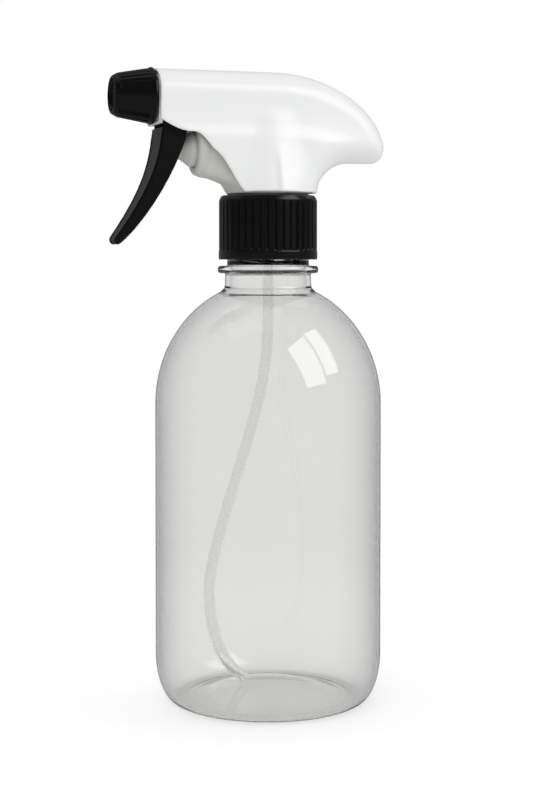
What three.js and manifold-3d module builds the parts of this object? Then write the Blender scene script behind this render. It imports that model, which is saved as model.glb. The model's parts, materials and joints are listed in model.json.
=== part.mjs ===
// A 500 ml trigger spray bottle, in millimetres, +Z up, nozzle towards -X.
// Shapes are drawn about the bottle's own axis, and the last group moves them so that
// the origin is under the middle of the whole object's box, on the surface it stands on.

import * as THREE from 'three';
import { mergeVertices } from 'three/addons/utils/BufferGeometryUtils.js';
import Module from 'manifold-3d';

const wasm = await Module();
wasm.setup();

// ---- Driving dimensions ----

const REACH = { front: 51.7, back: 39.5 };
const SIDES = { bottle: 36, round: 24, small: 16 };

const BOTTLE = {
  radius: 36.5,
  wall: 0.9,
  pushUp: 5.0,
  pushUpRadius: 25.4,
  standInner: 26.4,
  standOuter: 28.5,
  cornerHeight: 17,
  shoulderZ: 95.9,
  shoulderRise: 39.8,
};

// The neck finish is the 28 mm size with 1.5 turns of thread.
const NECK = {
  radius: 13.9,
  filletRadius: 15.6,
  z: 134.2,
  bore: 10.9,
  ringLow: 138.0,
  ringHigh: 140.4,
  ringRadius: 16.35,
  beadRadius: 13.25,
  beadTop: 143.2,
  finishRadius: 12.55,
  top: 158.6,
};

const THREAD = { pitch: 4.2333, turns: 1.5, stepsPerTurn: 16, startZ: 146, rootWidth: 2.0, crestWidth: 0.9 };

const COLLAR = {
  radius: 16,
  bore: 14.1,
  low: 142.4,
  high: 163.1,
  lipZ: 161.9,
  lipRadius: 11.8,
  ribs: 40,
  grooveWidth: 0.6,
  grooveDepth: 0.55,
  grooveLow: 145.3,
  grooveHigh: 161.3,
};

const GASKET = { inner: 9.0, outer: 13.6, low: 158.7, high: 160.1 };

const BODY = {
  flangeLow: 160.2,
  flangeHigh: 161.7,
  flangeRadius: 13.7,
  neckRadius: 11.5,
  beadLow: 163.4,
  beadHigh: 164.6,
  beadRadius: 13.5,
  spigotRadius: 8.7,
  spigotLow: 157.2,
  stemRadius: 5.8,
  stemLow: 153,
  riserRadius: 6.0,
  riserShoulder: 190.6,
  riserNeckRadius: 5.2,
  riserTop: 199.4,
};

const RISER = { inletBore: 4.2, inletTop: 170.8, portBore: 1.6, seatZ: 187, outletBore: 3.2 };

const PUMP = { z: 177.4, bore: 5.8, mouthX: -25.0, rearX: -5.0, radius: 7.4, rimRadius: 8.4, port: 1.2 };

const BARREL = { z: 194, radius: 4.2, bore: 2.1, noseX: -46.2, noseRadius: 4.7, noseBore: 2.3, groove: 4.0 };

const PIVOT = { x: -34, z: 191, pin: 1.4, hole: 1.55, span: 12.4 };

const TRIGGER = {
  topHalf: 6.9,
  tipHalf: 4.6,
  taperTopZ: 176,
  tipZ: 146,
  side: 1.5,
  topZ: 184.0,
  clearZ: 195,
  eyeRadius: 2.4,
};

const TUBE = { radius: 1.75, bore: 1.2, top: 161.0, sides: 8, steps: 30 };

// The room that the retainer and the ball cage leave inside the inlet bore.
const PRESS_GAP = 0.1;

const BALL = { radius: 1.9, z: 166.2 };

const SHROUD = {
  frontX: -37.8,
  top: 203.1,
  bottom: 163.8,
  halfWidth: 9.6,
  wall: 1.3,
  edgeDrop: 4.0,
  edgeInset: 2.2,
  skirtRadius: 15.2,
};

const RETURN_SPRING = { x0: -17.7, x1: -5.3, radius: 3.5, wire: 0.8, turns: 6 };
const OUTLET_SPRING = { z0: 189.4, z1: 196.1, radius: 1.9, wire: 0.45, turns: 5 };

// ---- Solids from three.js geometry ----

function signedVolume(position, index) {
  const [a, b, c] = [new THREE.Vector3(), new THREE.Vector3(), new THREE.Vector3()];
  let volume = 0;
  for (let i = 0; i < index.length; i += 3) {
    a.fromBufferAttribute(position, index[i]);
    b.fromBufferAttribute(position, index[i + 1]);
    c.fromBufferAttribute(position, index[i + 2]);
    volume += a.dot(b.cross(c)) / 6;
  }
  return volume;
}

// Merges shared vertices, drops collapsed triangles and turns the faces outwards.
function solid(source) {
  const geometry = source.clone();
  geometry.deleteAttribute('normal');
  geometry.deleteAttribute('uv');
  const merged = mergeVertices(geometry, 1e-4);
  const index = [];
  const raw = merged.index.array;
  for (let i = 0; i < raw.length; i += 3) {
    const [a, b, c] = [raw[i], raw[i + 1], raw[i + 2]];
    if (a !== b && b !== c && c !== a) index.push(a, b, c);
  }
  if (signedVolume(merged.attributes.position, index) < 0) index.reverse();
  return new wasm.Manifold(new wasm.Mesh({
    numProp: 3,
    vertProperties: new Float32Array(merged.attributes.position.array),
    triVerts: new Uint32Array(index),
  }));
}

function join(...solids) {
  return solids.reduce((sum, next) => sum.add(next));
}

function cut(base, ...tools) {
  return tools.reduce((left, tool) => left.subtract(tool), base);
}

// Turned shape about the bottle's axis, from [radius, z] points.
function turnedZ(points, sides = SIDES.round) {
  const profile = points.map(([r, z]) => new THREE.Vector2(r, z));
  return solid(new THREE.LatheGeometry(profile, sides).rotateX(Math.PI / 2));
}

// Turned shape about a line along X at height z, from [x, radius] points.
function turnedX(points, z, sides = SIDES.round) {
  const profile = points.map(([x, r]) => new THREE.Vector2(r, x));
  return solid(new THREE.LatheGeometry(profile, sides).rotateZ(-Math.PI / 2).translate(0, 0, z));
}

// A ring profile closes on itself, and a plug profile starts and ends on the axis.
function ring(points) {
  return [...points, points[0]];
}

function rodX(x0, x1, radius, z, sides = SIDES.round) {
  return turnedX([[x0, 0], [x0, radius], [x1, radius], [x1, 0]], z, sides);
}

function rodZ(z0, z1, radius, sides = SIDES.round) {
  return turnedZ([[0, z0], [radius, z0], [radius, z1], [0, z1]], sides);
}

function block(x, y, z) {
  const size = [x[1] - x[0], y[1] - y[0], z[1] - z[0]];
  const box = new THREE.BoxGeometry(...size);
  return solid(box.translate((x[0] + x[1]) / 2, (y[0] + y[1]) / 2, (z[0] + z[1]) / 2));
}

// A side outline in X and Z, made halfWidth thick each way along Y.
function plate(shape, halfWidth, curveSegments = 6) {
  const options = { depth: 2 * halfWidth, bevelEnabled: false, curveSegments };
  return solid(new THREE.ExtrudeGeometry(shape, options).rotateX(Math.PI / 2).translate(0, halfWidth, 0));
}

function outline(points) {
  return new THREE.Shape(points.map(([x, z]) => new THREE.Vector2(x, z)));
}

// Points on a quarter ellipse from angle a0 to a1, about [cx, cy].
function arc(cx, cy, rx, ry, a0, a1, steps) {
  const points = [];
  for (let i = 0; i <= steps; i += 1) {
    const a = a0 + ((a1 - a0) * i) / steps;
    points.push([cx + rx * Math.cos(a), cy + ry * Math.sin(a)]);
  }
  return points;
}

// A right-hand helical ridge about the bottle's axis, from rootR to crestR.
function threadRidge(rootR, crestR, startAngle, startZ) {
  const { pitch, turns, stepsPerTurn, rootWidth, crestWidth } = THREAD;
  const section = [
    [rootR, -rootWidth / 2],
    [crestR, -crestWidth / 2],
    [crestR, crestWidth / 2],
    [rootR, rootWidth / 2],
  ];
  const steps = turns * stepsPerTurn;
  const position = [];
  const index = [];
  for (let i = 0; i <= steps; i += 1) {
    const turn = i / stepsPerTurn;
    const angle = startAngle + 2 * Math.PI * turn;
    for (const [r, dz] of section) {
      position.push(r * Math.cos(angle), r * Math.sin(angle), startZ + pitch * turn + dz);
    }
  }
  for (let i = 0; i < steps; i += 1) {
    for (let j = 0; j < 4; j += 1) {
      const [a, b] = [4 * i + j, 4 * i + ((j + 1) % 4)];
      index.push(a, b, b + 4, a, b + 4, a + 4);
    }
  }
  const end = 4 * steps;
  index.push(0, 2, 1, 0, 3, 2, end, end + 1, end + 2, end, end + 2, end + 3);
  const geometry = new THREE.BufferGeometry();
  geometry.setAttribute('position', new THREE.Float32BufferAttribute(position, 3));
  geometry.setIndex(index);
  return solid(geometry);
}

// A curve through space from a function of t, which runs from 0 to 1.
class PointCurve extends THREE.Curve {
  constructor(point) {
    super();
    this.point = point;
  }

  getPoint(t, target = new THREE.Vector3()) {
    return target.copy(this.point(t));
  }
}

function coil(point, wire, turns) {
  const section = new THREE.Shape().absarc(0, 0, wire / 2, 0, 2 * Math.PI);
  const options = {
    steps: turns * 10,
    curveSegments: 3,
    bevelEnabled: false,
    extrudePath: new PointCurve(point),
  };
  return solid(new THREE.ExtrudeGeometry(section, options));
}

// ---- Bottle and closure ----

function bottle() {
  const { radius: R, wall, shoulderZ, shoulderRise: rise } = BOTTLE;
  const neckAngle = Math.acos(NECK.filletRadius / R);
  const corner = R - BOTTLE.standOuter;
  const outside = [
    [0, BOTTLE.pushUp],
    [10, BOTTLE.pushUp * 0.84],
    [19, BOTTLE.pushUp * 0.42],
    [BOTTLE.pushUpRadius, 0.25],
    [BOTTLE.standInner, 0],
    ...arc(R - corner, BOTTLE.cornerHeight, corner, BOTTLE.cornerHeight, -Math.PI / 2, 0, 5),
    ...arc(0, shoulderZ, R, rise, 0, neckAngle, 8),
    [NECK.radius + 0.5, NECK.z - 1.0],
    [NECK.radius, NECK.z],
    [NECK.radius, NECK.ringLow],
    [NECK.ringRadius - 0.7, NECK.ringLow],
    [NECK.ringRadius, NECK.ringLow + 0.7],
    [NECK.ringRadius, NECK.ringHigh - 0.7],
    [NECK.ringRadius - 0.7, NECK.ringHigh],
    [NECK.beadRadius, NECK.ringHigh],
    [NECK.beadRadius, NECK.beadTop],
    [NECK.finishRadius, NECK.beadTop + 0.6],
    [NECK.finishRadius, NECK.top],
  ];
  const inside = [
    [NECK.bore, NECK.top],
    [NECK.bore, NECK.ringLow],
    [NECK.radius - 1.1, NECK.z - 1.0],
    ...arc(0, shoulderZ, R - wall, rise - wall, neckAngle, 0, 8),
    ...arc(R - corner, BOTTLE.cornerHeight, corner - wall, BOTTLE.cornerHeight - wall, 0, -Math.PI / 2, 5),
    [BOTTLE.standInner, wall],
    [19, BOTTLE.pushUp * 0.42 + wall],
    [10, BOTTLE.pushUp * 0.84 + wall],
    [0, BOTTLE.pushUp + wall],
  ];
  const shell = turnedZ([...outside, ...inside], SIDES.bottle);
  return join(shell, threadRidge(NECK.finishRadius - 0.25, 13.6, 0, THREAD.startZ));
}

function closureCollar() {
  const { radius, bore, low, high, lipZ, lipRadius, ribs } = COLLAR;
  const shell = turnedZ(ring([
    [radius - 0.3, low],
    [radius, low + 0.3],
    [radius, high - 1.2],
    [radius - 0.8, high - 0.2],
    [radius - 1.4, high],
    [lipRadius, high],
    [lipRadius, lipZ],
    [bore, lipZ],
    [bore, low],
  ]), SIDES.bottle);
  const grooves = [];
  for (let i = 0; i < ribs; i += 1) {
    const groove = new THREE.BoxGeometry(2, COLLAR.grooveWidth, COLLAR.grooveHigh - COLLAR.grooveLow);
    groove.translate(radius - COLLAR.grooveDepth + 1, 0, (COLLAR.grooveHigh + COLLAR.grooveLow) / 2);
    groove.rotateZ((2 * Math.PI * i) / ribs);
    grooves.push(solid(groove));
  }
  // The ridge lies half a pitch under the neck's, so the two threads pull the closure down.
  const startAngle = Math.PI / 6;
  const startZ = THREAD.startZ + THREAD.pitch * (startAngle / (2 * Math.PI) - 0.5);
  return join(cut(shell, ...grooves), threadRidge(bore + 0.25, 12.95, startAngle, startZ));
}

function neckGasket() {
  const { inner, outer, low, high } = GASKET;
  return turnedZ(ring([[inner, low], [outer, low], [outer, high], [inner, high]]));
}

// ---- Pump body ----

function bodyCore() {
  const b = BODY;
  return turnedZ([
    [0, b.stemLow],
    [b.stemRadius, b.stemLow],
    [b.stemRadius, b.spigotLow],
    [b.spigotRadius, b.spigotLow],
    [b.spigotRadius, b.flangeLow],
    [b.flangeRadius, b.flangeLow],
    [b.flangeRadius, b.flangeHigh],
    [b.neckRadius, b.flangeHigh],
    [b.neckRadius, b.beadLow],
    [b.beadRadius, b.beadLow],
    [b.beadRadius, b.beadHigh],
    [b.beadRadius - 1, b.beadHigh + 1.4],
    [9.5, 170.5],
    [7.2, 175],
    [b.riserRadius, 179],
    [b.riserRadius, b.riserShoulder - 0.6],
    [b.riserNeckRadius, b.riserShoulder],
    [b.riserNeckRadius, b.riserTop],
    [0, b.riserTop],
  ]);
}

function bodyChin() {
  return plate(outline([
    [-13, 165.2],
    [-15.4, 166.6],
    [-18.4, 168.4],
    [-21.4, 169.2],
    [-23.4, 171],
    [-23.4, 180],
    [0, 184],
    [0, 165.2],
  ]), 6.4);
}

function pumpBarrel() {
  const { mouthX, rearX, radius, rimRadius, z } = PUMP;
  return turnedX([
    [mouthX, 0],
    [mouthX, rimRadius - 1.2],
    [mouthX + 0.5, rimRadius - 0.3],
    [mouthX + 1.4, rimRadius],
    [mouthX + 3.2, rimRadius - 0.5],
    [mouthX + 5, radius],
    [rearX + 4, radius],
    [rearX + 4, 0],
  ], z);
}

function dischargeBarrel() {
  const { noseX, radius, noseRadius, groove, z } = BARREL;
  return turnedX([
    [noseX, 0],
    [noseX, noseRadius - 0.3],
    [noseX + 0.3, noseRadius],
    [noseX + 1.6, noseRadius],
    [noseX + 1.6, groove],
    [noseX + 2.9, groove],
    [noseX + 2.9, noseRadius],
    [noseX + 4.4, noseRadius],
    [noseX + 4.9, radius],
    [0, radius],
    [0, 0],
  ], z);
}

function frontPlate() {
  const [half, low, high, front, thickness] = [8.2, 184.4, 200.9, -38.1, 1.2];
  const shape = new THREE.Shape([
    new THREE.Vector2(-half, low),
    new THREE.Vector2(half, low),
    new THREE.Vector2(half, high - 4.4),
    new THREE.Vector2(half - 1.2, high - 1.4),
    new THREE.Vector2(half - 4, high),
    new THREE.Vector2(4 - half, high),
    new THREE.Vector2(1.2 - half, high - 1.4),
    new THREE.Vector2(-half, high - 4.4),
  ]);
  const geometry = new THREE.ExtrudeGeometry(shape, { depth: thickness, bevelEnabled: false });
  // The outline's first axis turns to Y, its second to Z and its depth to X.
  geometry.rotateX(Math.PI / 2).rotateZ(Math.PI / 2);
  return solid(geometry.translate(front, 0, 0));
}

function pivotPin() {
  const pin = new THREE.CylinderGeometry(PIVOT.pin, PIVOT.pin, PIVOT.span, SIDES.small);
  return solid(pin.translate(PIVOT.x, 0, PIVOT.z));
}

function sprayerBody() {
  const outer = join(
    bodyCore(),
    bodyChin(),
    pumpBarrel(),
    dischargeBarrel(),
    block([-31, -4], [-1.5, 1.5], [183.2, 192]),
    block([-37, -30], [-1.5, 1.5], [188.4, 192]),
    frontPlate(),
    pivotPin(),
  );
  return cut(
    outer,
    rodX(PUMP.mouthX - 1, PUMP.rearX, PUMP.bore, PUMP.z),
    rodX(PUMP.rearX - 1, 0, PUMP.port, PUMP.z, SIDES.small),
    rodZ(BODY.stemLow - 1, RISER.inletTop, RISER.inletBore),
    rodZ(RISER.inletTop - 1, RISER.seatZ + 1, RISER.portBore, SIDES.small),
    rodZ(RISER.seatZ, BODY.riserTop + 1, RISER.outletBore),
    rodX(BARREL.noseX + 3, 0, BARREL.bore, BARREL.z, SIDES.small),
    rodX(BARREL.noseX - 1, BARREL.noseX + 3.6, BARREL.noseBore, BARREL.z, SIDES.small),
  );
}

// ---- Inlet: dip tube, retainer and ball valve ----

function dipTube() {
  const route = [
    [0, TUBE.top], [0, 140], [0, 122], [-1.4, 106], [-5.2, 90], [-10.6, 73], [-16.2, 55],
    [-19.3, 42], [-19.8, 33], [-18.6, 24], [-16.1, 16.4], [-12.3, 10.7], [-8.2, 7.1],
  ];
  const path = new THREE.CatmullRomCurve3(route.map(([x, z]) => new THREE.Vector3(x, 0, z)));
  const section = new THREE.Shape().absarc(0, 0, TUBE.radius, 0, 2 * Math.PI);
  section.holes.push(new THREE.Path().absarc(0, 0, TUBE.bore, 0, 2 * Math.PI, true));
  return solid(new THREE.ExtrudeGeometry(section, {
    steps: TUBE.steps,
    curveSegments: TUBE.sides / 2,
    bevelEnabled: false,
    extrudePath: path,
  }));
}

function tubeRetainer() {
  const [outer, flange, bore, seat] = [RISER.inletBore - PRESS_GAP, 5.6, TUBE.radius + 0.1, 1.1];
  const [low, flangeTop, top, shelf] = [151.5, BODY.stemLow - 0.3, 164.6, TUBE.top + 0.3];
  return turnedZ(ring([
    [bore, low],
    [flange, low],
    [flange, flangeTop],
    [outer, flangeTop],
    [outer, top],
    [seat, top],
    [seat, shelf],
    [bore, shelf],
  ]));
}

function inletCheckBall() {
  return solid(new THREE.SphereGeometry(BALL.radius, SIDES.small, 10).translate(0, 0, BALL.z));
}

function inletBallCage() {
  const [outer, inner, mouth] = [RISER.inletBore - PRESS_GAP, 2.4, 1.3];
  const [low, stop, top] = [164.8, 169.9, 170.5];
  return turnedZ(ring([
    [inner, low],
    [outer, low],
    [outer, top],
    [mouth, top],
    [mouth, stop],
    [inner, stop],
  ]));
}

// ---- Outlet valve ----

function outletValve() {
  return turnedZ([
    [0, 186.6],
    [1.2, 186.6],
    [2.7, 188.3],
    [2.7, 189.2],
    [1.0, 189.2],
    [1.0, 191],
    [0, 191],
  ]);
}

function outletValveSpring() {
  const { z0, z1, radius, wire, turns } = OUTLET_SPRING;
  return coil((t) => {
    const a = 2 * Math.PI * turns * t;
    const z = z0 + wire / 2 + (z1 - z0 - wire) * t;
    return new THREE.Vector3(radius * Math.cos(a), radius * Math.sin(a), z);
  }, wire, turns);
}

function riserPlug() {
  const [plug, cap] = [RISER.outletBore - PRESS_GAP, 4.6];
  const [low, capLow, top] = [OUTLET_SPRING.z1 + 0.2, BODY.riserTop + 0.2, BODY.riserTop + 1.2];
  return turnedZ([[0, low], [plug, low], [plug, capLow], [cap, capLow], [cap, top], [0, top]]);
}

// ---- Piston and its spring ----

function piston() {
  const { mouthX, z } = PUMP;
  return turnedX([
    [-34.3, 0],
    [-34.3, 2.5],
    [-33.8, 3.0],
    [-29.8, 3.2],
    [-28.2, 4.2],
    [mouthX - 1.6, 5.4],
    [-22.4, 5.4],
    [-22.4, 4.2],
    [-18.5, 4.2],
    [-18.5, 0],
  ], z);
}

function pistonSeal() {
  return turnedX(ring([
    [-22.1, 4.3],
    [-22.3, 5.7],
    [-21.4, 5.4],
    [-19.2, 5.4],
    [-18.0, 5.7],
    [-18.2, 5.1],
    [-18.9, 4.3],
  ]), PUMP.z);
}

function returnSpring() {
  const { x0, x1, radius, wire, turns } = RETURN_SPRING;
  return coil((t) => {
    const a = 2 * Math.PI * turns * t;
    const x = x0 + wire / 2 + (x1 - x0 - wire) * t;
    return new THREE.Vector3(x, radius * Math.cos(a), PUMP.z + radius * Math.sin(a));
  }, wire, turns);
}

// ---- Trigger ----

// The lever's side outline: front face, rounded tip, rear face and the arms up to the pivot.
function triggerOutline() {
  const shape = new THREE.Shape();
  shape.moveTo(-36.9, TRIGGER.topZ);
  shape.bezierCurveTo(-37.2, 172, -42.4, 161.5, -51.2, 149.2);
  shape.bezierCurveTo(-52, 147.8, -50.6, 146.6, -49.4, 147.8);
  shape.bezierCurveTo(-38.5, 158.5, -31.4, 173.5, -28.9, 182.4);
  shape.lineTo(-31.7, PIVOT.z);
  shape.lineTo(-36.2, PIVOT.z);
  shape.lineTo(-36.2, TRIGGER.topZ);
  return shape;
}

// The lever narrows evenly from its top to its tip.
function triggerWedge(inset) {
  const [top, tip] = [TRIGGER.topHalf - inset, TRIGGER.tipHalf - inset];
  const { taperTopZ, tipZ, clearZ } = TRIGGER;
  const shape = new THREE.Shape([
    new THREE.Vector2(-tip, tipZ),
    new THREE.Vector2(tip, tipZ),
    new THREE.Vector2(top, taperTopZ),
    new THREE.Vector2(top, clearZ),
    new THREE.Vector2(-top, clearZ),
    new THREE.Vector2(-top, taperTopZ),
  ]);
  const geometry = new THREE.ExtrudeGeometry(shape, { depth: 40, bevelEnabled: false });
  return solid(geometry.rotateX(Math.PI / 2).rotateZ(Math.PI / 2).translate(-60, 0, 0));
}

// The hollow between the arms, open at the back.
function triggerChannel() {
  const { topHalf, side, topZ, clearZ } = TRIGGER;
  const hollow = plate(outline([
    [-35.1, clearZ],
    [-35.1, topZ],
    [-35.6, 178],
    [-38.4, 168],
    [-43.6, 157],
    [-25, 150],
    [-25, clearZ],
  ]), topHalf);
  return hollow.intersect(triggerWedge(side));
}

function trigger() {
  const { topHalf, side, topZ, clearZ, eyeRadius } = TRIGGER;
  const inner = topHalf - side;
  const eye = new THREE.CylinderGeometry(eyeRadius, eyeRadius, 2 * topHalf, SIDES.small);
  const outer = join(
    plate(triggerOutline(), topHalf, 10).intersect(triggerWedge(0)),
    solid(eye.translate(PIVOT.x, 0, PIVOT.z)),
  );
  const aboveFront = block([-40, -30], [-inner, inner], [topZ, clearZ]);
  const hole = new THREE.CylinderGeometry(PIVOT.hole, PIVOT.hole, 3 * topHalf, SIDES.small);
  const arms = cut(outer, triggerChannel(), aboveFront, solid(hole.translate(PIVOT.x, 0, PIVOT.z)));
  const pushPad = block([-36.4, -34.6], [-inner - 0.2, inner + 0.2], [PUMP.z - 1.6, PUMP.z + 1.6]);
  return join(arms, pushPad);
}

// ---- Nozzle ----

function nozzleCap() {
  return turnedX(ring([
    [-38.6, 8.1],
    [-38.6, 8.9],
    [-39.1, 9.1],
    [-40.0, 8.9],
    [-50.4, 6.9],
    [-51.3, 6.5],
    [-REACH.front, 5.8],
    [-REACH.front, 5.3],
    [-50.6, 4.9],
    [-50.3, 2.85],
    [-48.7, 2.85],
    [-48.7, 1.5],
    [-48.0, 1.5],
    [-48.0, 5.1],
    [-41.4, 5.1],
    [-40.6, 7.7],
  ]), BARREL.z, 40);
}

function orificeDisc() {
  return turnedX(ring([[-50.3, 0.4], [-50.3, 2.7], [-48.9, 2.7], [-48.9, 0.9]]), BARREL.z);
}

function swirlInsert() {
  const { z } = BARREL;
  const profile = [[-47.4, 0], [-47.4, 1.7], [-46.9, 2.2], [-42.9, 2.2], [-42.9, 0]];
  const [slot, reach, slotFloor] = [0.3, 4, -46.8];
  const slotZ = block([-48, slotFloor], [-slot, slot], [z - reach, z + reach]);
  const slotY = block([-48, slotFloor], [-reach, reach], [z - slot, z + slot]);
  return cut(turnedX(profile, z, SIDES.small), slotZ, slotY);
}

function nozzleSealRing() {
  const torus = new THREE.TorusGeometry(4.5, 0.45, 6, SIDES.round).rotateY(Math.PI / 2);
  return solid(torus.translate(BARREL.noseX + 2.25, 0, BARREL.z));
}

// ---- Shroud ----

// The cover's side outline: flat top, back arc, tail and the hollow behind the neck.
function shroudOutline() {
  const { top } = SHROUD;
  const shape = new THREE.Shape();
  shape.moveTo(-46, 158);
  shape.lineTo(-46, top);
  shape.lineTo(2, top);
  shape.bezierCurveTo(18, top, 35.5, 194.5, 39.3, 180.8);
  shape.bezierCurveTo(40.1, 177.6, 38.6, 174, 35.2, 173.9);
  shape.lineTo(27.5, 173.9);
  shape.bezierCurveTo(21.5, 173.6, 17.2, 170, 15.2, 163);
  shape.lineTo(15.2, 158);
  return shape;
}

function shroudForm(inset) {
  const { halfWidth, edgeDrop, edgeInset, skirtRadius } = SHROUD;
  const half = halfWidth - inset;
  const geometry = new THREE.ExtrudeGeometry(shroudOutline(), {
    depth: 2 * (half - edgeDrop),
    bevelEnabled: true,
    bevelThickness: edgeDrop,
    bevelSize: edgeInset,
    bevelOffset: -edgeInset - inset,
    bevelSegments: 4,
    curveSegments: 10,
  });
  const hull = solid(geometry.rotateX(Math.PI / 2).translate(0, half - edgeDrop, 0));
  const skirt = turnedZ([
    [0, 158],
    [skirtRadius - inset, 158],
    [skirtRadius - inset, 165.5],
    [14.2 - inset, 170.5],
    [12.2 - inset, 176.5],
    [10.2 - inset, 182],
    [8.4 - inset, 187],
    [0, 187],
  ], SIDES.bottle);
  return join(hull, skirt);
}

// What the cover keeps: all that lies above its collar edge and behind its sloping front edge.
function shroudTrim() {
  const { frontX, bottom } = SHROUD;
  return plate(outline([
    [-11, bottom],
    [-19.6, 176],
    [-24.4, 180.6],
    [-27.6, 182.7],
    [-29.6, 182.4],
    [-33.6, 183.8],
    [frontX, 186.2],
    [frontX, 210],
    [60, 210],
    [60, bottom],
  ]), 25);
}

function shroud() {
  return cut(shroudForm(0), shroudForm(SHROUD.wall)).intersect(shroudTrim());
}

// ---- Assembly ----

const CLEAR_BOTTLE = { color: 0xdadcdb, roughness: 0.12, metalness: 0 };
const BLACK = { color: 0x1b1b1b, roughness: 0.42, metalness: 0 };
const WHITE = { color: 0xf4f4f3, roughness: 0.28, metalness: 0 };
const GREY = { color: 0xb4b4ac, roughness: 0.45, metalness: 0 };
const TUBE_PLASTIC = { color: 0xd8d8d4, roughness: 0.35, metalness: 0 };
const NATURAL = { color: 0xe6e6e0, roughness: 0.5, metalness: 0 };
const RUBBER = { color: 0x2a2a2a, roughness: 0.7, metalness: 0 };
const STEEL = { color: 0xc4c6c8, roughness: 0.25, metalness: 1 };

function part(name, piece, finish) {
  const { vertProperties, triVerts } = piece.getMesh();
  const geometry = new THREE.BufferGeometry();
  geometry.setAttribute('position', new THREE.BufferAttribute(new Float32Array(vertProperties), 3));
  geometry.setIndex(new THREE.BufferAttribute(new Uint32Array(triVerts), 1));
  const mesh = new THREE.Mesh(geometry, new THREE.MeshStandardMaterial(finish));
  mesh.name = name;
  return mesh;
}

function assembly() {
  const model = new THREE.Group();
  model.position.x = (REACH.front - REACH.back) / 2;
  model.add(
    part('bottle', bottle(), CLEAR_BOTTLE),
    part('closure_collar', closureCollar(), BLACK),
    part('neck_gasket', neckGasket(), NATURAL),
    part('sprayer_body', sprayerBody(), GREY),
    part('shroud', shroud(), WHITE),
    part('trigger', trigger(), BLACK),
    part('piston', piston(), GREY),
    part('piston_seal', pistonSeal(), NATURAL),
    part('return_spring', returnSpring(), STEEL),
    part('dip_tube', dipTube(), TUBE_PLASTIC),
    part('tube_retainer', tubeRetainer(), NATURAL),
    part('inlet_check_ball', inletCheckBall(), STEEL),
    part('inlet_ball_cage', inletBallCage(), NATURAL),
    part('outlet_valve', outletValve(), NATURAL),
    part('outlet_valve_spring', outletValveSpring(), STEEL),
    part('riser_plug', riserPlug(), NATURAL),
    part('nozzle_cap', nozzleCap(), BLACK),
    part('orifice_disc', orificeDisc(), BLACK),
    part('swirl_insert', swirlInsert(), NATURAL),
    part('nozzle_seal_ring', nozzleSealRing(), RUBBER),
  );
  const root = new THREE.Group();
  root.add(model);
  return root;
}

export default assembly();
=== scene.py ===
"""A 500 ml trigger spray bottle: the finished surfaces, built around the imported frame.

Shapes are worked out in millimetres about the bottle's own axis, nozzle towards -X and up along Z,
and are moved to the frame's place and to metres when their meshes are made.
"""

import json
import math

import bpy
import numpy as np
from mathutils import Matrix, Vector


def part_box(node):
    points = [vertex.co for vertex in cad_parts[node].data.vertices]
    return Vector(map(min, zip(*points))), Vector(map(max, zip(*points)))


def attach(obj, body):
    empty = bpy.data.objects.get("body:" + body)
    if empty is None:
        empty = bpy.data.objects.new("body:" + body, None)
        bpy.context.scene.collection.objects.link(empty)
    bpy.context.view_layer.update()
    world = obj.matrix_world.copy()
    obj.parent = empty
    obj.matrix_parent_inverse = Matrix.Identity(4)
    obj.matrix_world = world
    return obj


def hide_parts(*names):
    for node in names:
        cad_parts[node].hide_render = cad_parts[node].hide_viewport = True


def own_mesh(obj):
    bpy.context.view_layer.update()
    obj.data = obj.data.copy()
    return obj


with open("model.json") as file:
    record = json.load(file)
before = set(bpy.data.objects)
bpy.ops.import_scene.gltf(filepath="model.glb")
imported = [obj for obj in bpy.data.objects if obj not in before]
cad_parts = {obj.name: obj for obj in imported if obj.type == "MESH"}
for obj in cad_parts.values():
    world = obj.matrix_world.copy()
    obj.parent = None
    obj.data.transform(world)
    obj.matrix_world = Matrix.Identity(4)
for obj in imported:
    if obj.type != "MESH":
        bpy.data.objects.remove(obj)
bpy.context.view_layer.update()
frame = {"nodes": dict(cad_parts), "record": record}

MM = 0.001
AXIS_X = (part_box("bottle")[0].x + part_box("bottle")[1].x) / 2


def limits(node):
    """Lowest and highest corner of a CAD node, in millimetres about the bottle's axis."""
    low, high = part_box(node)
    shift = Vector((AXIS_X, 0, 0))
    return (low - shift) / MM, (high - shift) / MM


# ---- Dimensions read from the frame ----

BOTTLE_HIGH = limits("bottle")[1]
COLLAR_LOW, COLLAR_HIGH = limits("closure_collar")
SHROUD_LOW, SHROUD_HIGH = limits("shroud")
NOZZLE_LOW, NOZZLE_HIGH = limits("nozzle_cap")
TRIGGER_LOW, TRIGGER_HIGH = limits("trigger")
PISTON_LOW, PISTON_HIGH = limits("piston")
BODY_LOW, BODY_HIGH = limits("sprayer_body")

BODY_RADIUS = BOTTLE_HIGH.x
COLLAR_RADIUS = COLLAR_HIGH.x
NOZZLE_Z = (NOZZLE_LOW.z + NOZZLE_HIGH.z) / 2
PUMP_Z = (PISTON_LOW.z + PISTON_HIGH.z) / 2

# The 28 mm neck finish has one and a half turns of a 6 turns per inch thread.
THREAD_PITCH = 4.2333
THREAD_TURNS = 1.5
THREAD_START = 146.0
THREAD_HEIGHT, THREAD_HALF_WIDTH, THREAD_FLANK, THREAD_RUN_OUT = 1.05, 1.0, 0.55, 0.06

# The trigger turns on this pin, across the front of the pump body.
PIVOT_X, PIVOT_Z, PIN_RADIUS, PIN_HALF = -34, 191, 1.4, 6.2


# ---- Mesh making ----

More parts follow.
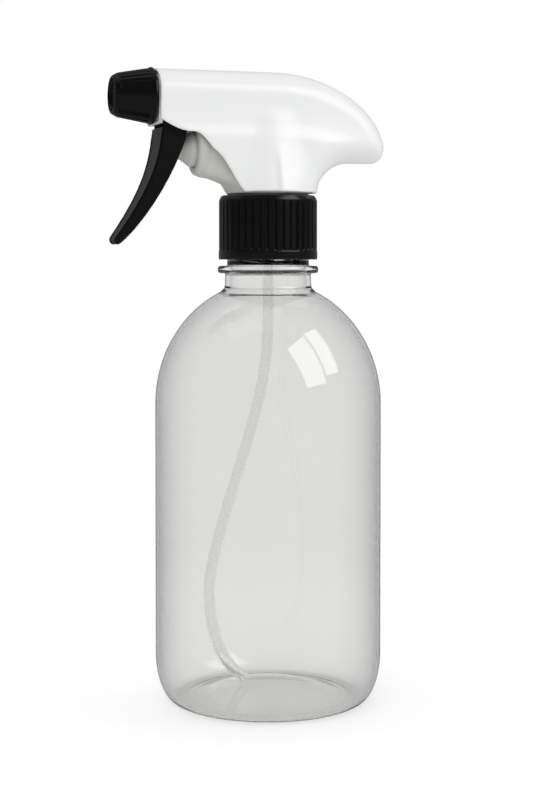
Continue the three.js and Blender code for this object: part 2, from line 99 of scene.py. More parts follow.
def add_object(name, vertices, faces, sharp=40):
    """A smooth-shaded mesh object from points in millimetres about the bottle's axis."""
    points = np.asarray(vertices, float) * MM
    points[:, 0] += AXIS_X
    mesh = bpy.data.meshes.new(name)
    mesh.from_pydata(points.tolist(), [], [list(map(int, f)) for f in faces])
    mesh.validate()
    mesh.update()
    mesh.shade_smooth()
    mesh.set_sharp_from_angle(angle=math.radians(sharp))
    obj = bpy.data.objects.new(name, mesh)
    bpy.context.scene.collection.objects.link(obj)
    return obj


def rounded(points, steps=5):
    """A polyline with its corners rounded. Each point is (a, b) or (a, b, radius)."""
    made = []
    count = len(points)
    for i, point in enumerate(points):
        here = np.array(point[:2], float)
        radius = point[2] if len(point) > 2 else 0
        if radius == 0 or i in (0, count - 1):
            made.append(here)
            continue
        back = np.array(points[i - 1][:2], float) - here
        ahead = np.array(points[i + 1][:2], float) - here
        u, v = back / np.linalg.norm(back), ahead / np.linalg.norm(ahead)
        half = math.acos(np.clip(u @ v, -1, 1)) / 2
        reach = min(radius / math.tan(half), 0.49 * np.linalg.norm(back), 0.49 * np.linalg.norm(ahead))
        start, end = here + u * reach, here + v * reach
        for k in range(steps + 1):
            t = k / steps
            made.append((1 - t) ** 2 * start + 2 * t * (1 - t) * here + t * t * end)
    return made


def densify(points, step):
    """Splits the long stretches of a polyline, so that no piece of it is longer than step."""
    made = [np.array(points[0], float)]
    for here, there in zip(points, points[1:]):
        length = np.linalg.norm(np.subtract(there, here))
        pieces = max(1, math.ceil(length / step))
        for k in range(1, pieces + 1):
            made.append(np.array(here, float) + np.subtract(there, here) * k / pieces)
    return made


def turned(name, profile, along="Z", centre=0.0, segments=96, relief=None, sharp=40):
    """A body of revolution. profile is a list of (radius, position along the axis), and centre is the
    height of an axis that lies along X. relief(angle, radius, position) gives what to add to the radius.
    A profile that starts away from the axis closes on itself."""
    profile = [np.array(p, float) for p in profile]
    ring = profile[0][0] > 1e-6
    angles = np.arange(segments) * 2 * math.pi / segments
    vertices, rows = [], []
    for radius, position in profile:
        if radius <= 1e-6:
            rows.append([len(vertices)])
            vertices.append((0.0, 0.0, position))
            continue
        radii = np.full(segments, radius)
        if relief is not None:
            radii = radii + relief(angles, radius, position)
        rows.append(list(range(len(vertices), len(vertices) + segments)))
        vertices += [(r * math.cos(a), r * math.sin(a), position) for a, r in zip(angles, radii)]
    if ring:
        rows.append(rows[0])
    faces = []
    for low, high in zip(rows, rows[1:]):
        for k in range(segments):
            m = (k + 1) % segments
            if len(low) == 1 and len(high) == 1:
                continue
            if len(low) == 1:
                faces.append((low[0], high[m], high[k]))
            elif len(high) == 1:
                faces.append((low[k], low[m], high[0]))
            else:
                faces.append((low[k], low[m], high[m], high[k]))
    points = np.array(vertices)
    if along == "X":
        points = np.stack([points[:, 2], points[:, 0], centre + points[:, 1]], axis=1)
    obj = add_object(name, points, faces, sharp)
    turn_outwards(obj)
    return obj


def turn_outwards(obj):
    """Flips every face if the closed mesh is inside out."""
    mesh = obj.data
    volume = 0.0
    for face in mesh.polygons:
        corners = [mesh.vertices[i].co for i in face.vertices]
        for k in range(1, len(corners) - 1):
            volume += corners[0].dot(corners[k].cross(corners[k + 1]))
    if volume < 0:
        mesh.flip_normals()


def swept(name, route, radii, sides=24, side=(0, 1, 0)):
    """A tube along a list of points in one plane, whose normal is side. radii is [outer] for a solid rod,
    or [outer, inner] for a pipe with open ends."""
    route = np.array(route, float)
    side = np.array(side, float)
    tangents = np.gradient(route, axis=0)
    tangents /= np.linalg.norm(tangents, axis=1)[:, None]
    across = np.cross(tangents, side)
    across /= np.linalg.norm(across, axis=1)[:, None]
    upright = np.cross(across, tangents)
    angles = np.arange(sides) * 2 * math.pi / sides
    vertices, shells = [], []
    for radius in radii:
        rings = []
        for centre, a, b in zip(route, across, upright):
            rings.append(range(len(vertices), len(vertices) + sides))
            vertices += [centre + radius * (math.cos(t) * a + math.sin(t) * b) for t in angles]
        shells.append(rings)
    faces = []
    for rings, outward in zip(shells, (True, False)):
        for low, high in zip(rings, rings[1:]):
            for k in range(sides):
                m = (k + 1) % sides
                quad = (low[k], low[m], high[m], high[k])
                faces.append(quad if outward else quad[::-1])
    if len(shells) == 2:
        for end, outer_first in ((0, False), (-1, True)):
            outer, inner = shells[0][end], shells[1][end]
            for k in range(sides):
                m = (k + 1) % sides
                quad = (outer[k], outer[m], inner[m], inner[k])
                faces.append(quad if outer_first else quad[::-1])
    else:
        faces.append(tuple(shells[0][0])[::-1])
        faces.append(tuple(shells[0][-1]))
    obj = add_object(name, vertices, faces)
    turn_outwards(obj)
    return obj


def smooth_route(points, count):
    """Catmull-Rom points through a given route."""
    points = np.array(points, float)
    padded = np.vstack([2 * points[0] - points[1], points, 2 * points[-1] - points[-2]])
    made = []
    for t in np.linspace(0, len(points) - 1 - 1e-9, count):
        i = int(t)
        u = t - i
        a, b, c, d = padded[i:i + 4]
        made.append(0.5 * (2 * b + (c - a) * u + (2 * a - 5 * b + 4 * c - d) * u * u
                           + (3 * b - a - 3 * c + d) * u ** 3))
    return made


# ---- Fields: each is negative inside a shape and about a distance in millimetres ----

def smooth_max(a, b, width):
    overlap = np.maximum(width - np.abs(a - b), 0) / width
    return np.maximum(a, b) + overlap * overlap * width / 4


def smooth_min(a, b, width):
    return -smooth_max(-a, -b, width)


def fade(value, start, end):
    """0 at start and 1 at end, eased at both."""
    t = np.clip((value - start) / (end - start), 0, 1)
    return t * t * (3 - 2 * t)


def bezier(start, control_a, control_b, end, steps=12):
    p = [np.array(q, float) for q in (start, control_a, control_b, end)]
    made = []
    for k in range(1, steps + 1):
        t = k / steps
        s = 1 - t
        made.append(s ** 3 * p[0] + 3 * s * s * t * p[1] + 3 * s * t * t * p[2] + t ** 3 * p[3])
    return made


def polygon_field(a, b, corners):
    """Signed distance to a closed polygon in the plane of coordinates a and b."""
    corners = [np.array(c, float) for c in corners]
    a, b = np.broadcast_arrays(a, b)
    nearest = np.full(a.shape, np.inf)
    inside = np.zeros(a.shape, bool)
    for here, there in zip(corners, corners[1:] + corners[:1]):
        edge = there - here
        length2 = edge @ edge
        if length2 < 1e-12:
            continue
        t = np.clip(((a - here[0]) * edge[0] + (b - here[1]) * edge[1]) / length2, 0, 1)
        away = (a - here[0] - t * edge[0]) ** 2 + (b - here[1] - t * edge[1]) ** 2
        nearest = np.minimum(nearest, away)
        if edge[1] != 0:
            crosses = (here[1] > b) != (there[1] > b)
            reach = here[0] + (b - here[1]) * edge[0] / edge[1]
            inside ^= crosses & (a < reach)
    distance = np.sqrt(nearest)
    return np.where(inside, -distance, distance)


def surface_cells(values):
    """Cells of a grid that the surface crosses, and the mean crossing point of each, in cell units."""
    corners = {}
    nx, ny, nz = (n - 1 for n in values.shape)
    for i in (0, 1):
        for j in (0, 1):
            for k in (0, 1):
                corners[i, j, k] = values[i:nx + i, j:ny + j, k:nz + k]
    total = np.zeros((nx, ny, nz, 3), np.float32)
    count = np.zeros((nx, ny, nz), np.float32)
    for axis in range(3):
        for u in (0, 1):
            for v in (0, 1):
                low = [u, v]
                low.insert(axis, 0)
                high = [u, v]
                high.insert(axis, 1)
                f0, f1 = corners[tuple(low)], corners[tuple(high)]
                crossed = (f0 < 0) != (f1 < 0)
                t = np.where(crossed, f0 / np.where(crossed, f0 - f1, 1), 0)
                point = np.zeros((nx, ny, nz, 3), np.float32)
                for other in range(3):
                    point[..., other] = t if other == axis else low[other]
                total += point * crossed[..., None]
                count += crossed
    active = count > 0
    return active, total / np.maximum(count, 1)[..., None]


def field_mesh(name, field, low, high, step, sharp=60, relax=2):
    """The zero surface of a field as a mesh of four-sided faces (surface nets), whose points are then
    moved onto the surface and evened out in relax rounds."""
    low, high = np.array(low, float), np.array(high, float)
    axes = [np.arange(low[i], high[i] + step, step) for i in range(3)]
    x, y, z = axes[0][:, None, None], axes[1][None, :, None], axes[2][None, None, :]
    values = np.broadcast_to(field(x, y, z), [len(a) for a in axes]).astype(np.float32)
    active, offset = surface_cells(values)
    number = np.full(active.shape, -1, np.int64)
    number[active] = np.arange(active.sum())
    points = low + (np.argwhere(active) + offset[active]) * step
    faces = []
    for axis in range(3):
        u, v = [i for i in range(3) if i != axis]
        along = [slice(None)] * 3
        along[axis] = slice(0, -1)
        ahead = [slice(None)] * 3
        ahead[axis] = slice(1, None)
        before, after = values[tuple(along)] < 0, values[tuple(ahead)] < 0
        edges = np.argwhere(before != after)
        edges = edges[(edges[:, u] > 0) & (edges[:, v] > 0)]
        edges = edges[(edges[:, u] < number.shape[u]) & (edges[:, v] < number.shape[v])]
        quad = []
        for du, dv in ((1, 1), (0, 1), (0, 0), (1, 0)):
            cell = edges.copy()
            cell[:, u] -= du
            cell[:, v] -= dv
            quad.append(number[cell[:, 0], cell[:, 1], cell[:, 2]])
        quad = np.stack(quad, axis=1)
        leaving = before[edges[:, 0], edges[:, 1], edges[:, 2]]
        if axis == 1:
            leaving = ~leaving
        faces.append(np.where(leaving[:, None], quad, quad[:, ::-1]))
    faces = np.concatenate(faces)
    faces = faces[(faces >= 0).all(axis=1)]
    points = relaxed(settle(points, field, step), faces, relax)
    return add_object(name, points, faces, sharp)


def relaxed(points, faces, rounds):
    """Evens out small bumps without shrinking the shape: points move towards their neighbours' mean and
    then almost as far away from it."""
    pairs = np.concatenate([faces[:, [k, (k + 1) % 4]] for k in range(4)])
    pairs = np.concatenate([pairs, pairs[:, ::-1]])
    count = np.maximum(np.bincount(pairs[:, 0], minlength=len(points)), 1)
    for _ in range(rounds):
        for weight in (0.5, -0.52):
            sums = [np.bincount(pairs[:, 0], points[pairs[:, 1], axis], len(points)) for axis in range(3)]
            mean = np.stack(sums, axis=1) / count[:, None]
            points = points + weight * (mean - points)
    return points


def settle(points, field, step):
    """Moves points onto the field's zero surface along its slope, by no more than a step."""
    nudge = 0.02
    for _ in range(3):
        x, y, z = points.T
        value = field(x, y, z)
        slope = np.stack([
            field(x + nudge, y, z) - field(x - nudge, y, z),
            field(x, y + nudge, z) - field(x, y - nudge, z),
            field(x, y, z + nudge) - field(x, y, z - nudge),
        ], axis=1) / (2 * nudge)
        steep = np.maximum((slope ** 2).sum(axis=1), 0.05)
        move = -slope * (value / steep)[:, None]
        length = np.linalg.norm(move, axis=1)
        move *= np.minimum(1, 0.4 * step / np.maximum(length, 1e-9))[:, None]
        points = points + move
    return points


# ---- Bottle ----

PUSH_UP, PUSH_UP_RADIUS = 5.0, 25.4
STAND_INNER, STAND_OUTER = 26.4, 29.8
CORNER_HEIGHT = 15.5
SHOULDER_Z, SHOULDER_RISE = 95.9, 39.8
NECK_RADIUS, NECK_BORE, FINISH_RADIUS = 13.9, 10.9, 12.55
NECK_FILLET_RADIUS = 15.6
RING_Z, RING_RADIUS = 139.2, 16.35
BEAD_TOP = 143.2
WALL = 0.9


def push_up(radius):
    return PUSH_UP * max(0.0, 1 - (radius / PUSH_UP_RADIUS) ** 2) ** 1.2


def ellipse(cx, cz, rx, rz, start, end, steps):
    angles = np.linspace(start, end, steps)
    return [(cx + rx * math.cos(a), cz + rz * math.sin(a)) for a in angles]


def thread_relief(angles, position, start_z):
    """Height of a right-hand thread ridge over its root, at each angle and one position."""
    total = np.zeros_like(angles)
    for turn in range(int(math.ceil(THREAD_TURNS)) + 1):
        swept_turns = angles / (2 * math.pi) + turn
        offset = np.abs(position - start_z - THREAD_PITCH * swept_turns)
        ridge = np.clip((THREAD_HALF_WIDTH - offset) / THREAD_FLANK, 0, 1)
        begins = np.clip(swept_turns / THREAD_RUN_OUT, 0, 1)
        ends = np.clip((THREAD_TURNS - swept_turns) / THREAD_RUN_OUT, 0, 1)
        total = np.maximum(total, THREAD_HEIGHT * ridge * begins * ends)
    return total


def bottle_profile():
    neck_angle = math.acos(NECK_FILLET_RADIUS / BODY_RADIUS)
    corner = BODY_RADIUS - STAND_OUTER
    top = BOTTLE_HIGH.z
    outside = [(r, push_up(r)) for r in np.linspace(0, PUSH_UP_RADIUS, 26)]
    outside += [(STAND_INNER - 0.4, 0.06), (STAND_INNER, 0)]
    outside += ellipse(STAND_OUTER, CORNER_HEIGHT, corner, CORNER_HEIGHT, -math.pi / 2, 0, 22)
    outside += ellipse(0, SHOULDER_Z, BODY_RADIUS, SHOULDER_RISE, 0, neck_angle, 60)
    neck = rounded([
        outside[-1],
        (NECK_RADIUS + 0.15, 133.3, 1.6),
        (NECK_RADIUS, 137.95, 0.5),
        (RING_RADIUS - 0.35, RING_Z - 1.15, 0.9),
        (RING_RADIUS, RING_Z, 1.2),
        (RING_RADIUS - 0.35, RING_Z + 1.15, 0.9),
        (13.25, RING_Z + 1.25, 0.35),
        (13.2, BEAD_TOP, 0.5),
        (FINISH_RADIUS, BEAD_TOP + 0.7, 0.5),
        (FINISH_RADIUS, top, 0.4),
        (NECK_BORE, top, 0.4),
        (NECK_BORE, 143.5, 2.0),
        (NECK_RADIUS - 1.5, 140.0, 1.5),
        (NECK_RADIUS - 1.2, 133.6, 1.5),
        (14.6, 130.5),
    ])
    outside += densify(neck[1:], 0.5)
    inner_radius = BODY_RADIUS - WALL
    inner_start = math.acos((NECK_FILLET_RADIUS - 0.2) / inner_radius)
    inside = ellipse(0, SHOULDER_Z, inner_radius, SHOULDER_RISE - WALL, inner_start, 0, 60)
    inside += ellipse(STAND_OUTER, CORNER_HEIGHT, corner - WALL, CORNER_HEIGHT - WALL, 0, -math.pi / 2, 22)
    inside += [(STAND_INNER, WALL)]
    inside += [(r, push_up(r) + WALL) for r in np.linspace(PUSH_UP_RADIUS, 0, 26)]
    return outside + inside


def make_bottle():
    def relief(angles, radius, position):
        if radius > FINISH_RADIUS - 0.1 and position > BEAD_TOP + 1.0:
            return thread_relief(angles, position, THREAD_START)
        return np.zeros_like(angles)

    obj = turned("bottle_shell", bottle_profile(), segments=160, relief=relief, sharp=50)
    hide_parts("bottle")
    return obj


# ---- Closure ----

RIBS = 40
GROOVE_HALF, GROOVE_DEPTH, GROOVE_FLANK = 0.42, 0.6, 0.2
CLOSURE_BORE, CLOSURE_LIP = 14.1, 11.8


def rib_relief(angles, radius, position):
    """Grooves between the closure's grip ribs, with rounded ends."""
    if radius < COLLAR_RADIUS - 0.6:
        return np.zeros_like(angles)
    pitch = 2 * math.pi / RIBS
    across = (np.mod(angles + pitch / 2, pitch) - pitch / 2) * COLLAR_RADIUS
    low, high = COLLAR_LOW.z + 3.0 + GROOVE_HALF, COLLAR_HIGH.z - 1.9 - GROOVE_HALF
    beyond = max(low - position, position - high, 0)
    distance = np.sqrt(across ** 2 + beyond ** 2)
    return -GROOVE_DEPTH * fade(GROOVE_HALF - distance, 0, GROOVE_FLANK)


def make_closure():
    low, high, radius = COLLAR_LOW.z, COLLAR_HIGH.z, COLLAR_RADIUS
    profile = rounded([
        (14.3, low, 0.2),
        (radius - 0.05, low, 0.3),
        (radius, low + 2.5, 0.2),
        (radius - 0.14, low + 2.75, 0.2),
        (radius - 0.14, high - 1.6, 1.0),
        (radius - 0.9, high - 0.15, 0.8),
        (radius - 2.0, high, 0.5),
        (CLOSURE_LIP, high, 0.25),
        (CLOSURE_LIP, high - 1.2, 0.2),
        (CLOSURE_BORE, high - 1.2, 0.3),
        (CLOSURE_BORE, low + 0.6, 0.2),
        (14.3, low),
    ])

    def relief(angles, radius_here, position):
        if radius_here < CLOSURE_BORE + 0.1 and position < high - 1.6:
            # Half a pitch under the neck's ridge, and begun a twelfth of a turn round.
            start = THREAD_START - THREAD_PITCH / 2 + THREAD_PITCH / 12
            turned_angles = np.mod(angles - math.pi / 6, 2 * math.pi)
            return -thread_relief(turned_angles, position, start)
        return rib_relief(angles, radius_here, position)

    profile = densify(profile, 0.3)[:-1]
    obj = turned("closure_ribbed", profile, segments=RIBS * 14, relief=relief, sharp=50)
    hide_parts("closure_collar")
    return obj


# ---- Shroud ----

SHROUD_TOP = SHROUD_HIGH.z - 0.35
SHROUD_FRONT = SHROUD_LOW.x
SHROUD_BOTTOM = SHROUD_LOW.z
SHROUD_WALL = 1.1
SHROUD_HALF = 9.4
CROWN_DROP, CROWN_HALF = 4.6, 8.6
SKIRT_TOP_RADIUS, SKIRT_FLARE = 8.4, 6.8


def shroud_outline():
    """Side outline of the cover: flat top, back arc, tail and the hollow behind the neck."""
    top = SHROUD_TOP
    points = [(-60, 150), (-60, top), (2, top)]
    points += bezier((2, top), (18, top), (35.5, 194.5), (39.3, 180.8), 90)
    points += bezier((39.3, 180.8), (40.1, 177.6), (38.6, 174), (35.2, 173.9), 40)
    points += [(27.5, 173.9)]
    points += bezier((27.5, 173.9), (21.5, 173.6), (17.2, 170), (15.2, 163), 50)
    points += [(15.2, 150)]
    return points


def shroud_trim():
    """Side outline of what the cover keeps, behind its sloping front edge."""
    points = [(-11, SHROUD_BOTTOM)]
    points += bezier((-11, SHROUD_BOTTOM), (-14.5, 168.2), (-17, 174.5), (-20.4, 176.8), 30)
    points += bezier((-20.4, 176.8), (-23, 178.8), (-24.4, 182.9), (-28.4, 182.5), 30)
    points += bezier((-28.4, 182.5), (-32, 182.6), (-35, 184.6), (SHROUD_FRONT, 186.3), 24)
    return points + [(SHROUD_FRONT, 215), (60, 215), (60, SHROUD_BOTTOM)]


def make_shroud():
    outline, trim = shroud_outline(), shroud_trim()

    def outer(x, y, z):
        depth = -polygon_field(x, z, outline)
        side = np.abs(y)
        crown = CROWN_DROP * (side / CROWN_HALF) ** 2
        crown_slope = 2 * CROWN_DROP * side / CROWN_HALF ** 2
        roof = (crown - depth) / np.sqrt(1 + crown_slope ** 2)
        # The side panel is a little hollow above its crease, swells under it and narrows to the tail.
        crease_z = 185.6 - 0.0085 * np.maximum(x - 4, 0) ** 2
        panel = np.clip((z - crease_z) / 12, 0, 1)
        width = SHROUD_HALF - 0.2 * np.sin(math.pi * panel) + 0.9 * fade(crease_z - z, -0.5, 5)
        width = width - 0.9 * fade(x, 12, 40)
        hull = smooth_max(roof, side - width, 1.8)
        # The skirt flares down to the closure, with a shallow step ahead of the riser.
        flare = SKIRT_TOP_RADIUS + SKIRT_FLARE * (1 - fade(z, 160, 189))
        step_in = 0.8 * fade(x, 0.3, -1.5) * fade(z, 178, 171)
        skirt = (np.sqrt(x * x + y * y) - flare + step_in) / 1.08
        skirt = smooth_max(skirt, z - 188, 4.0)
        return smooth_min(hull, skirt, 3.5)

    def field(x, y, z):
        skin = outer(x, y, z)
        shell = smooth_max(skin, -(skin + SHROUD_WALL), 0.3)
        return smooth_max(shell, polygon_field(x, z, trim), 0.5)

    low = (SHROUD_LOW.x - 1, SHROUD_LOW.y - 1, SHROUD_LOW.z - 1)
    high = (SHROUD_HIGH.x + 1, SHROUD_HIGH.y + 1, SHROUD_HIGH.z + 1)
    obj = field_mesh("shroud_cover", field, low, high, 0.45, relax=8)
    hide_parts("shroud")
    return obj


# ---- Pump body ----

PUMP_BORE, PORT_BORE, INLET_BORE, RISER_PORT, OUTLET_BORE = 5.8, 1.2, 4.2, 1.6, 3.2
BARREL_BORE, NOSE_BORE = 2.1, 2.3


def box_field(x, y, z, low, high):
    gaps = [np.maximum(low[i] - c, c - high[i]) for i, c in enumerate((x, y, z))]
    return np.maximum(np.maximum(gaps[0], gaps[1]), gaps[2])


def make_body():
    """Turned profiles are (radius, height) for the riser and (place along X, radius) for the barrels. A
    corner on the far side of an axis keeps the solid's middle whole."""
    core = [
        (0, BODY_LOW.z), (5.8, BODY_LOW.z), (5.8, 157.2), (8.7, 157.2), (8.7, 160.2), (13.7, 160.2),
        (13.7, 161.7), (11.5, 161.7), (11.5, 163.4), (13.4, 163.4), (13.5, 164.3), (13.1, 164.6),
        (13.1, 165.1), (13.4, 165.4), (13.0, 166.2), (11.0, 168.8), (9.0, 171.6), (7.2, 175), (6.0, 179),
        (6.0, 190), (5.2, 190.6), (5.2, BODY_HIGH.z), (0, BODY_HIGH.z), (-4, 176),
    ]
    chin = [
        (-12.6, 165.6), (-14.6, 166.6), (-16.8, 167.5), (-19.5, 168.4), (-22.6, 168.9), (-23.6, 171),
        (-23.6, 181), (-16, 183), (0, 184), (0, 165.6),
    ]
    barrel = [
        (-25.2, -4), (-25.2, 7.0), (-24.9, 7.8), (-24.3, 8.3), (-23.4, 8.4), (-22.3, 8.2), (-21.0, 7.6),
        (-19.5, 7.3), (-1.0, 7.3), (-1.0, -4),
    ]
    nose = [
        (-46.2, -4), (-46.2, 4.5), (-45.9, 4.7), (-44.6, 4.7), (-44.6, 4.0), (-43.3, 4.0), (-43.3, 4.7),
        (-41.8, 4.7), (-41.3, 4.2), (0, 4.2), (0, -4),
    ]
    front = [
        (-8.0, 185.5), (-7.3, 184.9), (7.3, 184.9), (8.0, 185.5), (8.0, 196.4), (6.8, 199.2), (4.0, 200.5),
        (-4.0, 200.5), (-6.8, 199.2), (-8.0, 196.4),
    ]

    def field(x, y, z):
        about_z = np.sqrt(x * x + y * y)
        about_pump = np.sqrt(y * y + (z - PUMP_Z) ** 2)
        about_nose = np.sqrt(y * y + (z - NOZZLE_Z) ** 2)
        form = polygon_field(about_z, z, core)
        form = smooth_min(form, smooth_max(polygon_field(x, z, chin), np.abs(y) - 7.4, 4.0), 1.2)
        form = smooth_min(form, polygon_field(x, about_pump, barrel), 0.8)
        form = smooth_min(form, box_field(x, y, z, (-31, -1.5, 183.2), (-4, 1.5, 192)), 0.6)
        form = np.minimum(form, box_field(x, y, z, (-37, -1.5, 188.4), (-30, 1.5, 192)))
        form = smooth_min(form, polygon_field(x, about_nose, nose), 0.6)
        # The front plate behind the nozzle, with a raised rim.
        face = polygon_field(y, z, front)
        form = np.minimum(form, np.maximum(face, np.abs(x + 37.3) - 0.45))
        form = np.minimum(form, np.maximum(np.maximum(face, -0.9 - face), np.abs(x + 37.5) - 0.6))
        about_pin = np.sqrt((x - PIVOT_X) ** 2 + (z - PIVOT_Z) ** 2)
        form = np.minimum(form, np.maximum(about_pin - PIN_RADIUS, np.abs(y) - PIN_HALF))
        bores = np.maximum(about_pump - PUMP_BORE, np.maximum(-40 - x, x + 5))
        bores = np.minimum(bores, np.maximum(about_pump - PORT_BORE, np.maximum(-6 - x, x)))
        bores = np.minimum(bores, np.maximum(about_z - INLET_BORE, z - 170.8))
        bores = np.minimum(bores, np.maximum(about_z - RISER_PORT, z - 188))
        bores = np.minimum(bores, np.maximum(about_z - OUTLET_BORE, 187 - z))
        bores = np.minimum(bores, np.maximum(about_nose - BARREL_BORE, x))
        bores = np.minimum(bores, np.maximum(about_nose - NOSE_BORE, x + 42.6))
        return smooth_max(form, -bores, 0.3)

    low = (BODY_LOW.x - 1, BODY_LOW.y - 1, BODY_LOW.z - 1)
    high = (BODY_HIGH.x + 1, BODY_HIGH.y + 1, BODY_HIGH.z + 1)
    obj = field_mesh("pump_body", field, low, high, 0.42)
    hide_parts("sprayer_body")
    return obj


# ---- Trigger ----

TRIGGER_TOP = 184.0
TRIGGER_SIDE = 1.5
PAD_X, PAD_Z = -35.5, 177.4
EYE_RADIUS, EYE_BORE = 2.4, 1.55
TIP_HALF, TOP_HALF, TIP_Z, FULL_WIDTH_Z = 4.6, 6.9, 146, 176


def trigger_outline():
    points = [(-36.9, TRIGGER_TOP)]
    points += bezier((-36.9, TRIGGER_TOP), (-37.2, 172), (-42.4, 161.5), (-51.2, 149.2), 60)
    points += bezier((-51.2, 149.2), (-52, 147.8), (-50.6, 146.6), (-49.4, 147.8), 16)
    points += bezier((-49.4, 147.8), (-38.5, 158.5), (-31.4, 173.5), (-28.9, 182.4), 60)
    return points + [(-31.7, PIVOT_Z), (-36.2, PIVOT_Z), (-36.2, TRIGGER_TOP)]


def make_trigger():
    outline = trigger_outline()
    hollow = [
        (-35.1, 205), (-35.1, 184), (-35.5, 178), (-38.4, 168), (-42.2, 160.5), (-25, 156), (-20, 205),
    ]

    def field(x, y, z):
        side = np.abs(y)
        taper = np.clip((z - TIP_Z) / (FULL_WIDTH_Z - TIP_Z), 0, 1)
        half = TIP_HALF + (TOP_HALF - TIP_HALF) * taper
        half = half * np.sqrt(1 - 0.7 * np.clip((151.5 - z) / 5, 0, 1) ** 2)
        lever = polygon_field(x, z, outline)
        about_pin = np.sqrt((x - PIVOT_X) ** 2 + (z - PIVOT_Z) ** 2)
        lever = np.minimum(lever, about_pin - EYE_RADIUS)
        lip = 0.28 * np.exp(-((side - half + 0.55) / 0.35) ** 2) * fade(z, 184, 180)
        form = smooth_max(lever - lip, side - half, 0.5)
        inner = half - TRIGGER_SIDE
        channel = smooth_max(polygon_field(x, z, hollow), side - inner, 0.8)
        above = np.maximum(TRIGGER_TOP - z, side - inner)
        form = smooth_max(form, -channel, 0.4)
        form = np.maximum(form, -above)
        form = np.maximum(form, EYE_BORE - about_pin)
        pad = np.maximum(np.abs(x - PAD_X) - 0.9, np.abs(z - PAD_Z) - 1.6)
        pad = np.maximum(pad, side - inner - 0.3)
        return smooth_min(form, pad, 0.4)

    low = (TRIGGER_LOW.x - 1, TRIGGER_LOW.y - 1, TRIGGER_LOW.z - 1)
    high = (TRIGGER_HIGH.x + 1, TRIGGER_HIGH.y + 1, TRIGGER_HIGH.z + 1)
    obj = field_mesh("trigger_lever", field, low, high, 0.32, relax=3)
    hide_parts("trigger")
    return obj


# ---- Nozzle ----

RIBS_FRONT, RIBS_REAR, RIB_RUN_OUT = -50.2, -39.9, 0.6
RIB_HALF, RIB_FLANK, RIB_HEIGHT, RIB_SINK = 0.6, 0.3, 0.26, 0.1
RIB_SPACING = math.radians(13)


def nozzle_relief(angles, radius, position):
    """Raised grip ribs on the top and the bottom of the nozzle's cone, which sinks a little between."""
    if radius < 6.0 or not RIBS_FRONT < position < RIBS_REAR:
        return np.zeros_like(angles)
    ends = min(1.0, (position - RIBS_FRONT) / RIB_RUN_OUT, (RIBS_REAR - position) / RIB_RUN_OUT)
    total = np.zeros_like(angles)
    for side, reach in ((math.pi / 2, 4), (-math.pi / 2, 2)):
        for k in range(-reach, reach + 1):
            centre = side + k * RIB_SPACING
            away = np.abs(np.mod(angles - centre + math.pi, 2 * math.pi) - math.pi) * radius
            total = np.maximum(total, np.clip((RIB_HALF - away) / RIB_FLANK, 0, 1))
    return ends * (RIB_HEIGHT * total - RIB_SINK)


def make_nozzle():
    front, rear = NOZZLE_LOW.x, NOZZLE_HIGH.x
    profile = rounded([
        (8.1, rear, 0.15),
        (8.95, rear, 0.3),
        (9.1, rear - 0.6, 0.3),
        (8.85, rear - 1.2, 0.3),
        (8.55, rear - 1.5, 0.3),
        (6.75, front + 1.5, 0.9),
        (6.0, front + 0.1, 0.7),
        (5.2, front, 0.35),
        (4.9, front + 1.1, 0.4),
        (2.85, front + 1.5, 0.2),
        (2.85, front + 3.0, 0.1),
        (1.5, front + 3.0, 0.1),
        (1.5, front + 3.7, 0.1),
        (5.1, front + 3.7, 0.3),
        (5.1, -41.4, 0.3),
        (7.7, -40.6, 0.3),
        (8.1, rear),
    ])
    obj = turned("nozzle_tip", densify(profile, 0.5)[:-1], "X", NOZZLE_Z, 240, nozzle_relief, 45)
    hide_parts("nozzle_cap")
    return obj


def make_orifice():
    front = limits("orifice_disc")[0].x
    profile = rounded([
        (0.4, front + 0.5, 0.1),
        (1.2, front, 0.2),
        (2.7, front, 0.15),
        (2.7, front + 1.4, 0.1),
        (0.9, front + 1.4, 0.1),
        (0.4, front + 0.5),
    ])
    obj = turned("orifice_plate", profile[:-1], "X", NOZZLE_Z, 64)
    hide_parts("orifice_disc")
    return obj


# ---- Pump's moving pieces and the tube ----

def make_piston():
    profile = rounded([
        (0, -34.3),
        (2.5, -34.3, 0.4),
        (3.0, -33.6, 0.3),
        (3.2, -29.8, 0.8),
        (4.2, -28.2, 0.8),
        (5.4, -26.6, 0.6),
        (5.4, -22.4, 0.2),
        (4.2, -22.4, 0.1),
        (4.2, -18.5, 0.2),
        (0, -18.5),
    ])
    obj = turned("piston_plunger", densify(profile, 0.8), "X", PUMP_Z, 72)
    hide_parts("piston")
    return obj


TUBE_RADIUS, TUBE_BORE = 1.75, 1.2


def make_dip_tube():
    route = [
        (0, 161.0), (0, 140), (0, 122), (-1.4, 106), (-5.2, 90), (-10.6, 73), (-16.2, 55),
        (-19.3, 42), (-19.8, 33), (-18.6, 24), (-16.1, 16.4), (-12.3, 10.7), (-8.2, 7.1),
    ]
    points = smooth_route([(x, 0, z) for x, z in route], 150)
    obj = swept("dip_tube_pipe", points, [TUBE_RADIUS, TUBE_BORE], 28)
    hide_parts("dip_tube")
    return obj


COIL_STEPS_PER_TURN = 28
RETURN_COIL = {"radius": 3.5, "wire": 0.8, "turns": 6}
OUTLET_COIL = {"radius": 1.9, "wire": 0.45, "turns": 5}


